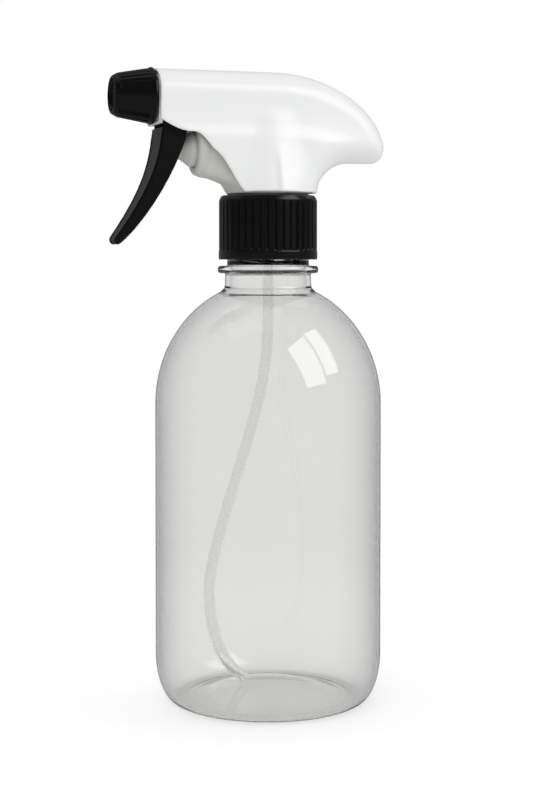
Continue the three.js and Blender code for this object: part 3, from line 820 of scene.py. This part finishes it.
def helix(name, low, high, along, radius, wire, turns):
    """A coil spring between two places on its axis. along is X at the pump's height, or Z."""
    count = turns * COIL_STEPS_PER_TURN
    made = []
    for k in range(count + 1):
        t = k / count
        a = 2 * math.pi * turns * t
        place = low + wire / 2 + (high - low - wire) * t
        if along == "X":
            made.append((place, radius * math.cos(a), PUMP_Z + radius * math.sin(a)))
        else:
            made.append((radius * math.cos(a), radius * math.sin(a), place))
    points = np.array(made)
    axis = np.array((1.0, 0, 0) if along == "X" else (0, 0, 1.0))
    return swept(name, points, [wire / 2], 10, axis)


def make_springs():
    """The pump's and the outlet valve's springs."""
    pump_low, pump_high = limits("return_spring")
    pump = helix("return_coil", pump_low.x, pump_high.x, "X", **RETURN_COIL)
    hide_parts("return_spring")
    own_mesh(pump)
    valve_low, valve_high = limits("outlet_valve_spring")
    valve = helix("outlet_coil", valve_low.z, valve_high.z, "Z", **OUTLET_COIL)
    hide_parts("outlet_valve_spring")
    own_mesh(valve)
    return pump, valve


# ---- Materials ----

def material(name, colour, roughness, **sockets):
    """A plain Principled material, with what is needed to build it up."""
    made = bpy.data.materials.new(name)
    made.use_nodes = True
    nodes, links = made.node_tree.nodes, made.node_tree.links
    shader = nodes["Principled BSDF"]
    shader.inputs["Base Color"].default_value = (*colour, 1)
    shader.inputs["Roughness"].default_value = roughness
    for socket, value in sockets.items():
        shader.inputs[socket.replace("_", " ")].default_value = value
    return made, nodes, links, shader


def moulded(name, colour, roughness, spread=0.06, bump=0.02, tint=0.04, **sockets):
    """Moulded plastic: roughness and colour vary slowly, and a fine grain lifts the surface a little."""
    made, nodes, links, shader = material(name, colour, roughness, **sockets)
    place = nodes.new("ShaderNodeTexCoord")
    slow = nodes.new("ShaderNodeTexNoise")
    slow.inputs["Scale"].default_value = 60
    slow.inputs["Detail"].default_value = 4
    links.new(place.outputs["Object"], slow.inputs["Vector"])
    to_roughness = nodes.new("ShaderNodeMapRange")
    to_roughness.inputs["To Min"].default_value = max(0.02, roughness - spread)
    to_roughness.inputs["To Max"].default_value = roughness + spread
    links.new(slow.outputs["Fac"], to_roughness.inputs["Value"])
    links.new(to_roughness.outputs["Result"], shader.inputs["Roughness"])
    shades = nodes.new("ShaderNodeMix")
    shades.data_type = "RGBA"
    shades.inputs["A"].default_value = (*[c * (1 - tint) for c in colour], 1)
    shades.inputs["B"].default_value = (*[min(1, c * (1 + tint)) for c in colour], 1)
    links.new(slow.outputs["Fac"], shades.inputs["Factor"])
    links.new(shades.outputs["Result"], shader.inputs["Base Color"])
    fine = nodes.new("ShaderNodeTexNoise")
    fine.inputs["Scale"].default_value = 900
    fine.inputs["Detail"].default_value = 3
    links.new(place.outputs["Object"], fine.inputs["Vector"])
    raised = nodes.new("ShaderNodeBump")
    raised.inputs["Strength"].default_value = bump
    raised.inputs["Distance"].default_value = 0.0002
    links.new(fine.outputs["Fac"], raised.inputs["Height"])
    links.new(raised.outputs["Normal"], shader.inputs["Normal"])
    return made


def clear_plastic(name, colour, edge_tint_and_shade, roughness, ior, lamp_loss):
    """Clear blown plastic: its colour darkens towards a second, edge colour where it is seen edge on, the
    more so on its upright walls; this is partly the deeper tint of a longer path through the wall and
    partly painted shade for the dark reflections along its outline.
    Lamps shine through it, less lamp_loss at each surface."""
    made, nodes, links, shader = material(name, colour, roughness, IOR=ior)
    # Painted shade, partly real tint: the base colour darkens where the wall is seen edge on, and less on
    # level surfaces. It stands in for the dark reflections along the outline as well as the longer path
    # through the plastic.
    edge_on = nodes.new("ShaderNodeLayerWeight")
    edge_on.inputs["Blend"].default_value = 0.5
    depth = nodes.new("ShaderNodeMapRange")
    depth.inputs["From Min"].default_value = 0.2
    links.new(edge_on.outputs["Facing"], depth.inputs["Value"])
    tint = nodes.new("ShaderNodeMix")
    tint.data_type = "RGBA"
    tint.inputs["A"].default_value = (*colour, 1)
    tint.inputs["B"].default_value = (*edge_tint_and_shade, 1)
    steep = nodes.new("ShaderNodeMath")
    steep.operation = "POWER"
    steep.inputs[1].default_value = 1.6
    links.new(depth.outputs["Result"], steep.inputs[0])
    shape = nodes.new("ShaderNodeNewGeometry")
    slope = nodes.new("ShaderNodeSeparateXYZ")
    links.new(shape.outputs["Normal"], slope.inputs["Vector"])
    level = nodes.new("ShaderNodeMath")
    level.operation = "ABSOLUTE"
    links.new(slope.outputs["Z"], level.inputs[0])
    less = nodes.new("ShaderNodeMapRange")
    less.inputs["To Min"].default_value = 1.0
    less.inputs["To Max"].default_value = 0.5
    links.new(level.outputs["Value"], less.inputs["Value"])
    scaled = nodes.new("ShaderNodeMath")
    scaled.operation = "MULTIPLY"
    links.new(steep.outputs["Value"], scaled.inputs[0])
    links.new(less.outputs["Result"], scaled.inputs[1])
    links.new(scaled.outputs["Value"], tint.inputs["Factor"])
    links.new(tint.outputs["Result"], shader.inputs["Base Color"])
    shader.inputs["Transmission Weight"].default_value = 1.0
    path = nodes.new("ShaderNodeLightPath")
    through = nodes.new("ShaderNodeBsdfTransparent")
    through.inputs["Color"].default_value = (*[c ** 0.5 - lamp_loss for c in colour], 1)
    both = nodes.new("ShaderNodeMixShader")
    links.new(path.outputs["Is Shadow Ray"], both.inputs["Fac"])
    links.new(shader.outputs["BSDF"], both.inputs[1])
    links.new(through.outputs["BSDF"], both.inputs[2])
    links.new(both.outputs["Shader"], nodes["Material Output"].inputs["Surface"])
    return made


BLACK = (0.004, 0.004, 0.004)


def make_materials():
    def black(name, roughness, shine):
        return moulded(name, BLACK, roughness, spread=0.03, Specular_IOR_Level=shine)

    return {
        # Each clear plastic's second colour is its edge darkening, partly real tint and partly painted
        # shade.
        "bottle_plastic": clear_plastic(
            "clear_bottle", (0.86, 0.86, 0.852), (0.25, 0.275, 0.29), 0.0, 1.47, 0.03),
        "tube_plastic": clear_plastic(
            "translucent_tube", (0.93, 0.93, 0.92), (0.4, 0.4, 0.39), 0.05, 1.4, 0.04),
        "black_ribbed_plastic": black("black_ribbed", 0.24, 0.4),
        "black_plastic": black("black_satin", 0.3, 0.25),
        "black_gloss_plastic": black("black_gloss", 0.2, 0.3),
        "white_plastic": moulded(
            "white_gloss", (0.90, 0.905, 0.905), 0.28, spread=0.01, tint=0.004, bump=0.0),
        "grey_plastic": moulded("grey_satin", (0.60, 0.597, 0.565), 0.45),
        "natural_plastic": moulded("natural_polyethylene", (0.78, 0.78, 0.74), 0.5),
        "seal_rubber": moulded("seal_rubber", (0.03, 0.03, 0.03), 0.6, bump=0.05),
        "spring_steel": moulded("drawn_steel", (0.55, 0.55, 0.55), 0.3, Metallic=1.0),
        "ball_steel": moulded("polished_steel", (0.6, 0.6, 0.61), 0.12, spread=0.04, Metallic=1.0),
    }


def finish_piece(obj, body, slot, materials):
    obj.data.materials.clear()
    obj.data.materials.append(materials[slot])
    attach(obj, body)


# ---- Studio ----

# Strengths are in units of the white background. The lamps face a place on the bottle's shoulder.
SHOULDER = Vector((AXIS_X + 0.0054, -0.0327, 0.1125))
KEY_RADIANCE, OVERHEAD_RADIANCE = 3.0, 0.35
ROOM_LIGHT = 0.84
FLOOR_GLOW, FLOOR_MIRRORED = 0.27, 0.2
FLOOR_NEAR, FLOOR_FAR = 0.12, 0.3
FRONT_MIRRORED, BACK_MIRRORED = 0.02, 0.2

CAMERA_AZIMUTH, CAMERA_PITCH = math.radians(-18), math.radians(1.5)
CAMERA_DISTANCE, CAMERA_HEIGHT, CAMERA_ASIDE = 0.5294, 0.1416, 0.00049
CAMERA_LENS, CAMERA_SHIFT = 73.53, -0.1725


def make_floor():
    """A white floor that glows evenly far out, so that it meets the white room without a line, and near
    the bottle takes part of its light from the lamps, which leaves the soft shadow. It is mirrored dim."""
    mesh = bpy.data.meshes.new("floor")
    reach = 6.0
    corners = [(-reach, -reach, 0), (reach, -reach, 0), (reach, reach, 0), (-reach, reach, 0)]
    mesh.from_pydata(corners, [], [(0, 1, 2, 3)])
    floor = bpy.data.objects.new("floor", mesh)
    bpy.context.scene.collection.objects.link(floor)
    made, nodes, links, shader = material("pale_floor", (0.8, 0.8, 0.8), 0.9)
    shader.inputs["Specular IOR Level"].default_value = 0.0
    shader.inputs["Emission Color"].default_value = (1, 1, 1, 1)
    shader.inputs["Emission Strength"].default_value = FLOOR_GLOW
    glow = nodes.new("ShaderNodeEmission")
    path = nodes.new("ShaderNodeLightPath")
    mirrored = nodes.new("ShaderNodeMath")
    mirrored.operation = "SUBTRACT"
    mirrored.use_clamp = True
    links.new(path.outputs["Is Glossy Ray"], mirrored.inputs[0])
    links.new(path.outputs["Is Transmission Ray"], mirrored.inputs[1])
    lit_by = nodes.new("ShaderNodeMapRange")
    lit_by.inputs["To Min"].default_value = 1.0
    lit_by.inputs["To Max"].default_value = ROOM_LIGHT
    links.new(path.outputs["Is Diffuse Ray"], lit_by.inputs["Value"])
    strength = nodes.new("ShaderNodeMix")
    strength.inputs["B"].default_value = FLOOR_MIRRORED
    links.new(mirrored.outputs["Value"], strength.inputs["Factor"])
    links.new(lit_by.outputs["Result"], strength.inputs["A"])
    links.new(strength.outputs["Result"], glow.inputs["Strength"])
    place = nodes.new("ShaderNodeTexCoord")
    distance = nodes.new("ShaderNodeVectorMath")
    distance.operation = "LENGTH"
    links.new(place.outputs["Object"], distance.inputs[0])
    far = nodes.new("ShaderNodeMapRange")
    far.interpolation_type = "SMOOTHSTEP"
    far.inputs["From Min"].default_value = FLOOR_NEAR
    far.inputs["From Max"].default_value = FLOOR_FAR
    links.new(distance.outputs["Value"], far.inputs["Value"])
    even = nodes.new("ShaderNodeMath")
    even.operation = "MAXIMUM"
    links.new(far.outputs["Result"], even.inputs[0])
    links.new(mirrored.outputs["Value"], even.inputs[1])
    both = nodes.new("ShaderNodeMixShader")
    links.new(even.outputs["Value"], both.inputs["Fac"])
    links.new(shader.outputs["BSDF"], both.inputs[1])
    links.new(glow.outputs["Emission"], both.inputs[2])
    links.new(both.outputs["Shader"], nodes["Material Output"].inputs["Surface"])
    mesh.materials.append(made)


def make_world():
    """A white room for what is seen straight or through the bottle. Surfaces mirror a much dimmer one,
    darker in front than behind, as between studio flats, and dull ones take ROOM_LIGHT from it."""
    world = bpy.data.worlds.new("studio")
    bpy.context.scene.world = world
    world.use_nodes = True
    nodes, links = world.node_tree.nodes, world.node_tree.links
    background = nodes["Background"]
    path = nodes.new("ShaderNodeLightPath")
    place = nodes.new("ShaderNodeTexCoord")
    axes = nodes.new("ShaderNodeSeparateXYZ")
    links.new(place.outputs["Generated"], axes.inputs["Vector"])
    mirrored = nodes.new("ShaderNodeMapRange")
    mirrored.interpolation_type = "SMOOTHSTEP"
    mirrored.inputs["From Min"].default_value = -0.3
    mirrored.inputs["From Max"].default_value = 0.8
    mirrored.inputs["To Min"].default_value = FRONT_MIRRORED
    mirrored.inputs["To Max"].default_value = BACK_MIRRORED
    links.new(axes.outputs["Y"], mirrored.inputs["Value"])

    def choose(flag, when_set, otherwise):
        mix = nodes.new("ShaderNodeMix")
        links.new(flag, mix.inputs["Factor"])
        for socket, value in (("A", otherwise), ("B", when_set)):
            if isinstance(value, float):
                mix.inputs[socket].default_value = value
            else:
                links.new(value, mix.inputs[socket])
        return mix.outputs["Result"]

    glossy = choose(path.outputs["Is Glossy Ray"], mirrored.outputs["Result"], 1.0)
    diffuse = choose(path.outputs["Is Diffuse Ray"], ROOM_LIGHT, glossy)
    strength = choose(path.outputs["Is Transmission Ray"], 1.0, diffuse)
    background.inputs["Color"].default_value = (1, 1, 1, 1)
    links.new(strength, background.inputs["Strength"])


def softbox(name, centre, offset, size, radiance):
    """A rectangular lamp on the plane that faces the shoulder from centre, moved by offset along the
    plane's level direction and up it. radiance is in units of the white background."""
    towards = (SHOULDER - centre).normalized()
    level = towards.cross(Vector((0, 0, 1))).normalized()
    upward = level.cross(towards)
    data = bpy.data.lights.new(name, "AREA")
    data.shape = "RECTANGLE"
    data.size, data.size_y = size
    data.energy = math.pi * radiance * size[0] * size[1]
    light = bpy.data.objects.new(name, data)
    light.location = centre + level * offset[0] + upward * offset[1]
    light.rotation_mode = "QUATERNION"
    light.rotation_quaternion = towards.to_track_quat("-Z", "Y")
    bpy.context.scene.collection.objects.link(light)
    return light


def make_lights():
    """A window of two tall panes a metre off, to the right, in front and above, and a broad weak flat
    overhead. The wide pane is mirrored and seen through the bottle, and leaves dull surfaces unlit."""
    window = SHOULDER + Vector((0.587, -0.561, 0.584)).normalized() * 1.0
    wide = softbox("window_wide", window, (-0.23, -0.01), (0.44, 0.74), KEY_RADIANCE)
    wide.visible_diffuse = False
    softbox("window_narrow", window, (0.18, 0.06), (0.30, 0.66), KEY_RADIANCE)
    overhead = SHOULDER + Vector((-0.25, 0.1, 1.2))
    softbox("overhead", overhead, (0, 0), (1.0, 1.0), OVERHEAD_RADIANCE)


def make_camera():
    """An eye half a metre from the bottle's axis, a little round towards the nozzle, level with the neck
    and looking slightly down. The lens is shifted, so that upright edges stay nearly upright."""
    data = bpy.data.cameras.new("camera")
    data.sensor_width = 36.0
    data.lens = CAMERA_LENS
    data.shift_y = CAMERA_SHIFT + math.tan(CAMERA_PITCH) * CAMERA_LENS / data.sensor_width
    data.clip_start = 0.01
    camera = bpy.data.objects.new("camera", data)
    back = Vector((math.sin(CAMERA_AZIMUTH), -math.cos(CAMERA_AZIMUTH), 0))
    right = Vector((math.cos(CAMERA_AZIMUTH), math.sin(CAMERA_AZIMUTH), 0))
    over_axis = Vector((AXIS_X, 0, CAMERA_HEIGHT))
    camera.location = over_axis + back * CAMERA_DISTANCE - right * CAMERA_ASIDE
    level, down = math.cos(CAMERA_PITCH), math.sin(CAMERA_PITCH)
    look = Vector((-back.x * level, -back.y * level, -down))
    camera.rotation_mode = "QUATERNION"
    camera.rotation_quaternion = look.to_track_quat("-Z", "Y")
    bpy.context.scene.collection.objects.link(camera)
    bpy.context.scene.camera = camera


# ---- Assembly ----

def main():
    bpy.context.scene.view_settings.view_transform = "Standard"
    make_camera()
    make_world()
    make_lights()
    make_floor()
    materials = make_materials()
    finish_piece(make_bottle(), "bottle", "bottle_plastic", materials)
    finish_piece(make_closure(), "closure", "black_ribbed_plastic", materials)
    finish_piece(make_shroud(), "head", "white_plastic", materials)
    finish_piece(make_body(), "head", "grey_plastic", materials)
    finish_piece(make_trigger(), "trigger", "black_plastic", materials)
    finish_piece(make_nozzle(), "nozzle", "black_gloss_plastic", materials)
    finish_piece(make_orifice(), "nozzle", "black_plastic", materials)
    finish_piece(make_piston(), "plunger", "grey_plastic", materials)
    finish_piece(make_dip_tube(), "head", "tube_plastic", materials)
    for spring in make_springs():
        finish_piece(spring, "head", "spring_steel", materials)
    shown = {entry["node"]: entry["material_slot"] for entry in frame["record"]["subparts"]}
    for name, node in frame["nodes"].items():
        if not node.hide_render:
            node.data.materials.clear()
            node.data.materials.append(materials[shown[name]])


main()
